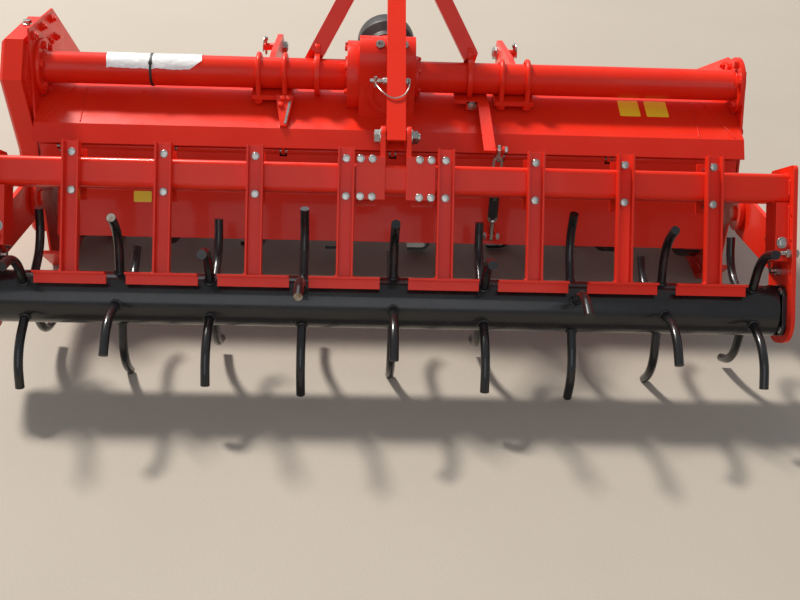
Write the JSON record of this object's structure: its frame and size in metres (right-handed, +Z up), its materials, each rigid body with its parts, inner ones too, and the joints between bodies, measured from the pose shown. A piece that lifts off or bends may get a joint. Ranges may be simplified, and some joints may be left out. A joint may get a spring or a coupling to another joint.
{
  "type": "rotary tiller with spiked roller",
  "caption": "Tractor-mounted rotary tiller with side gear case, hooded rotor, chained rear board and a following spiked roller with scrapers.",
  "frame": {"origin": "on the floor, under the middle of the bounding box", "axes": "+X the machine's right, +Y its travel, toward the tractor, +Z up"},
  "size_m": [1.995, 1.3806, 0.995],
  "materials": {
    "orange_red_paint": "glossy",
    "black_paint": "glossy",
    "zinc_steel": "satin",
    "black_plastic": "satin"
  },
  "bodies": {
    "tiller": {"left_tube": "orange_red_paint", "right_tube": "orange_red_paint", "gearbox": "orange_red_paint", "gearbox_coupling": "orange_red_paint", "gear_case": "orange_red_paint", "left_plate": "orange_red_paint", "right_plate": "orange_red_paint", "skids": "orange_red_paint", "rotor_hub": "orange_red_paint", "hood": "orange_red_paint", "hinge_rod": "zinc_steel", "left_hitch": "orange_red_paint", "right_hitch": "orange_red_paint", "chain_arms": "orange_red_paint", "arm_ears": "orange_red_paint", "mast": "orange_red_paint", "left_brace": "orange_red_paint", "right_brace": "orange_red_paint", "input_guard": "black_plastic"},
    "input_shaft": {"input_shaft": "zinc_steel"},
    "rotor": {"rotor": "black_paint", "rotor_stubs": "zinc_steel"},
    "rear_board": {"rear_board": "orange_red_paint"},
    "right_chain": {"right_chain": "black_plastic"},
    "roller_frame": {"arms": "orange_red_paint", "roller_side_plates": "orange_red_paint", "posts": "orange_red_paint", "beam": "orange_red_paint", "scrapers": "orange_red_paint", "link_clevis": "orange_red_paint", "roller_bearings": "black_paint"},
    "roller": {"roller_tube": "black_paint", "roller_ends": "black_paint"},
    "link_inner": {"link_inner": "zinc_steel"},
    "link_outer": {"link_outer": "orange_red_paint", "lock_pin": "zinc_steel"}
  },
  "joints": [
    {"name": "input_shaft_spin", "type": "hinge", "parent": "tiller", "child": "input_shaft", "pos_m": [-0.0005, 0.28826, 0.59], "axis": [0, 1, 0], "continuous": true},
    {"name": "rotor_spin", "type": "hinge", "parent": "tiller", "child": "rotor", "pos_m": [0.0175, 0.24326, 0.25], "axis": [-1, 0, 0], "continuous": true},
    {"name": "rear_board_lift", "type": "hinge", "parent": "tiller", "child": "rear_board", "pos_m": [0.0175, -0.03474, 0.432], "axis": [-1, 0, 0], "range_deg": [0, 14]},
    {"name": "right_chain_swing", "type": "hinge", "parent": "tiller", "child": "right_chain", "pos_m": [0.2825, -0.16874, 0.514], "axis": [-1, 0, 0], "range_deg": [-0.5, 10.23]},
    {"name": "roller_frame_lift", "type": "hinge", "parent": "tiller", "child": "roller_frame", "pos_m": [0.0175, -0.10174, 0.311], "axis": [-1, 0, 0], "range_deg": [-6, 15]},
    {"name": "roller_spin", "type": "hinge", "parent": "roller_frame", "child": "roller", "pos_m": [0.0175, -0.45674, 0.2336], "axis": [-1, 0, 0], "continuous": true},
    {"name": "link_swing", "type": "hinge", "parent": "tiller", "child": "link_inner", "pos_m": [0.0165, 0.28326, 0.951], "axis": [-1, 0, 0], "range_deg": [-1.27, 0.63]},
    {"name": "link_slide", "type": "slide", "parent": "link_inner", "child": "link_outer", "axis": [0, 0.8369, 0.5473], "range_m": [-0.0356, 0.0861]}
  ],
  "couplings": [
    {"joint": "input_shaft_spin", "follows": "rotor_spin", "ratio": 2.4545},
    {"joint": "right_chain_swing", "follows": "rear_board_lift", "ratio": 0.6949},
    {"joint": "link_swing", "follows": "roller_frame_lift", "ratio": -0.0713},
    {"joint": "link_slide", "follows": "roller_frame_lift", "m_per_rad": 0.3212}
  ]
}
